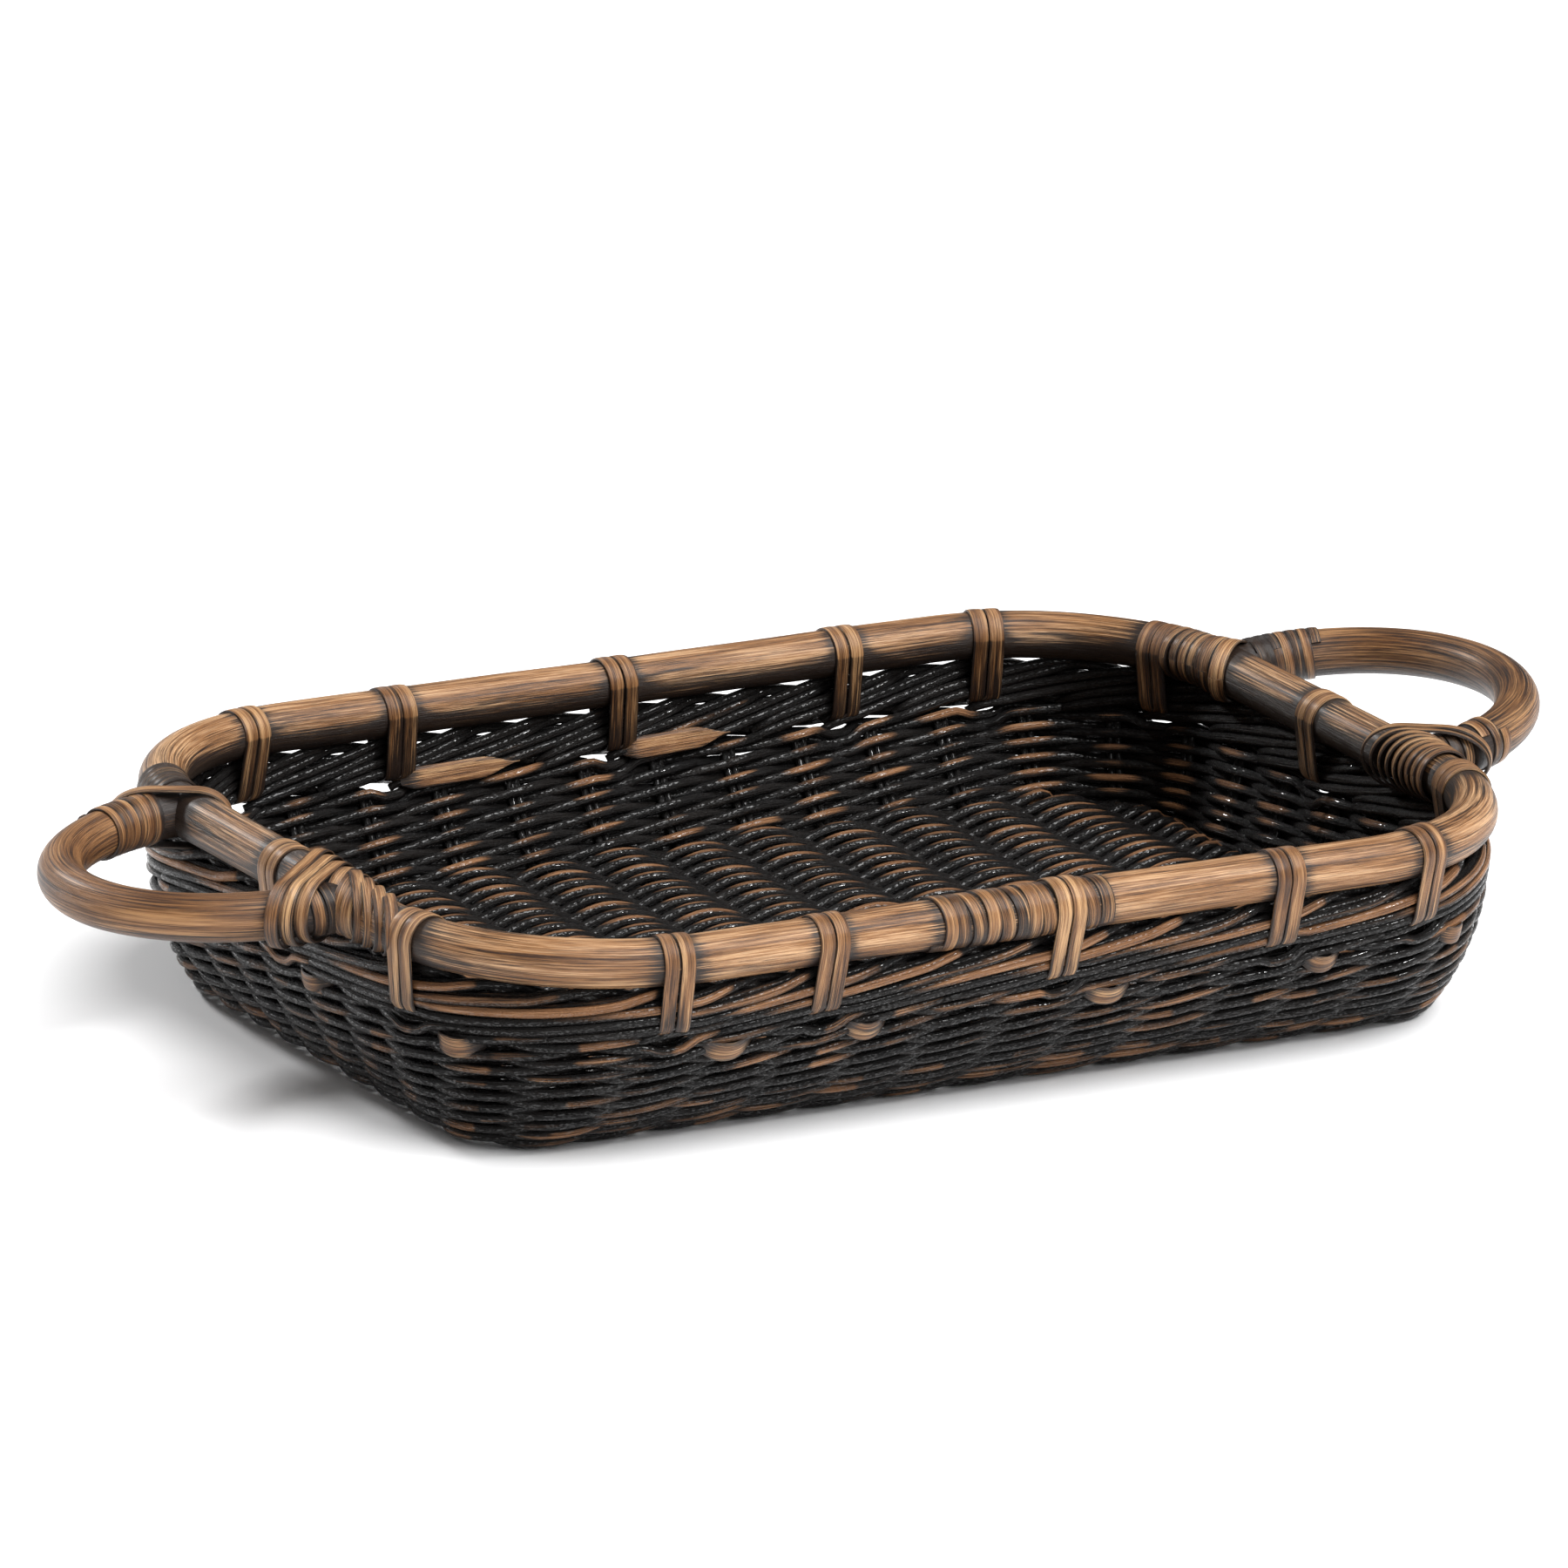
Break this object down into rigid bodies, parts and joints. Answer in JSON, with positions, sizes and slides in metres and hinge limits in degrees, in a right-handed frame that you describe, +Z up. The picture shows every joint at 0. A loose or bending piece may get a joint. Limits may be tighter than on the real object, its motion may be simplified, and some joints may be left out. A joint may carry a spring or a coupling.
{
  "type": "log basket",
  "caption": "Shallow rectangular wicker log basket with a thick bent pole rim strapped over a woven tray and a lashed pole loop handle at each end.",
  "frame": {"origin": "on the ground, below the middle of the basket's box", "axes": "+X along the length through both handles, +Y across towards the back side, +Z up out of the mouth"},
  "size_m": [0.849, 0.4685, 0.1288],
  "materials": {
    "pole": "brown stained rattan pole, satin, streaked grain",
    "peel": "brown stained flat rattan peel, satin",
    "weave": "near-black stained round core, rubbed through to brown on the raised turns, glossy",
    "stake": "near-black stained round core, satin",
    "nail": "plain steel wire nail"
  },
  "bodies": {
    "root": {"rim_pole": "pole", "handle_left": "pole", "handle_right": "pole", "rim_strap_01": "peel", "rim_strap_02": "peel", "rim_strap_03": "peel", "rim_strap_04": "peel", "rim_strap_05": "peel", "rim_strap_06": "peel", "rim_strap_07": "peel", "rim_strap_08": "peel", "rim_strap_09": "peel", "rim_strap_10": "peel", "rim_strap_11": "peel", "rim_strap_12": "peel", "rim_strap_13": "peel", "rim_strap_14": "peel", "rim_strap_15": "peel", "handle_binding_left_front": "peel", "handle_binding_left_back": "peel", "handle_binding_right_front": "peel", "handle_binding_right_back": "peel", "handle_lashing_left_front": "peel", "handle_lashing_left_back": "peel", "handle_lashing_right_front": "peel", "handle_lashing_right_back": "peel", "rim_splice_binding": "peel", "base_weave": "weave", "side_weave": "weave", "border_weave": "weave", "stake_long_01": "stake", "stake_long_02": "stake", "stake_long_03": "stake", "stake_long_04": "stake", "stake_long_05": "stake", "stake_long_06": "stake", "stake_long_07": "stake", "stake_long_08": "stake", "stake_long_09": "stake", "stake_long_10": "stake", "stake_long_11": "stake", "stake_left_1": "stake", "stake_left_2": "stake", "stake_left_3": "stake", "stake_right_1": "stake", "stake_right_2": "stake", "stake_right_3": "stake", "handle_nail_left_front": "nail", "handle_nail_left_back": "nail", "handle_nail_right_front": "nail", "handle_nail_right_back": "nail", "splice_nail_1": "nail", "splice_nail_2": "nail"}
  },
  "joints": []
}
